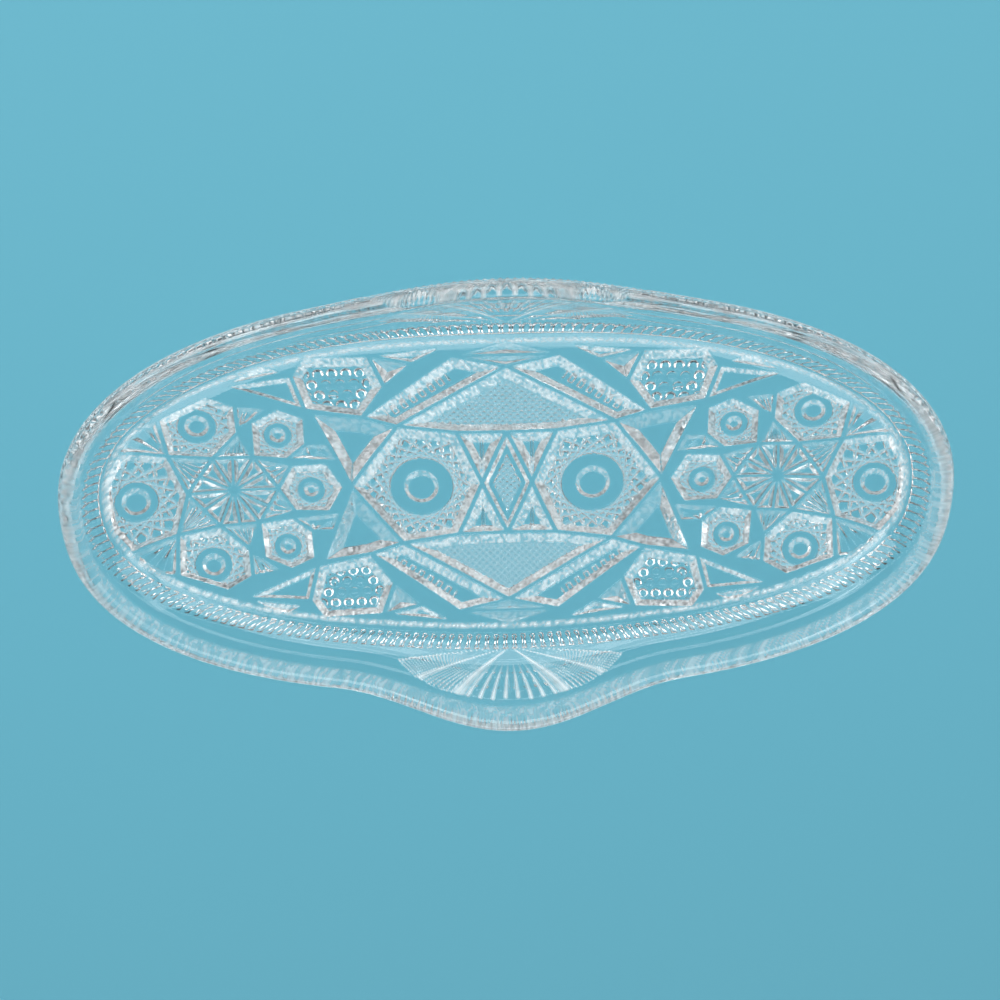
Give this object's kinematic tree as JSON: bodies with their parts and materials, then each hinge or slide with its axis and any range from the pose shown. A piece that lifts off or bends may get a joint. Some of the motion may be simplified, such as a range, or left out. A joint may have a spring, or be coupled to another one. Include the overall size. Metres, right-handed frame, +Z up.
{
  "type": "pressed glass relish dish",
  "caption": "Oval clear pressed-glass relish dish with flared walls, a wavy rounded lip, fan lobes on the long sides and a hobstar pattern under the base.",
  "frame": {"origin": "centre of the flat base, on the surface that the dish stands on", "axes": "+X along the dish's length, +Y across it towards one lobe, +Z up out of the bowl"},
  "size_m": [0.2048, 0.1138, 0.026],
  "materials": {
    "clear_glass": "fire-polished clear pressed glass, smooth inside, pattern with fine mould texture on the underside"
  },
  "bodies": {
    "root": {"dish": "clear_glass"}
  },
  "joints": []
}
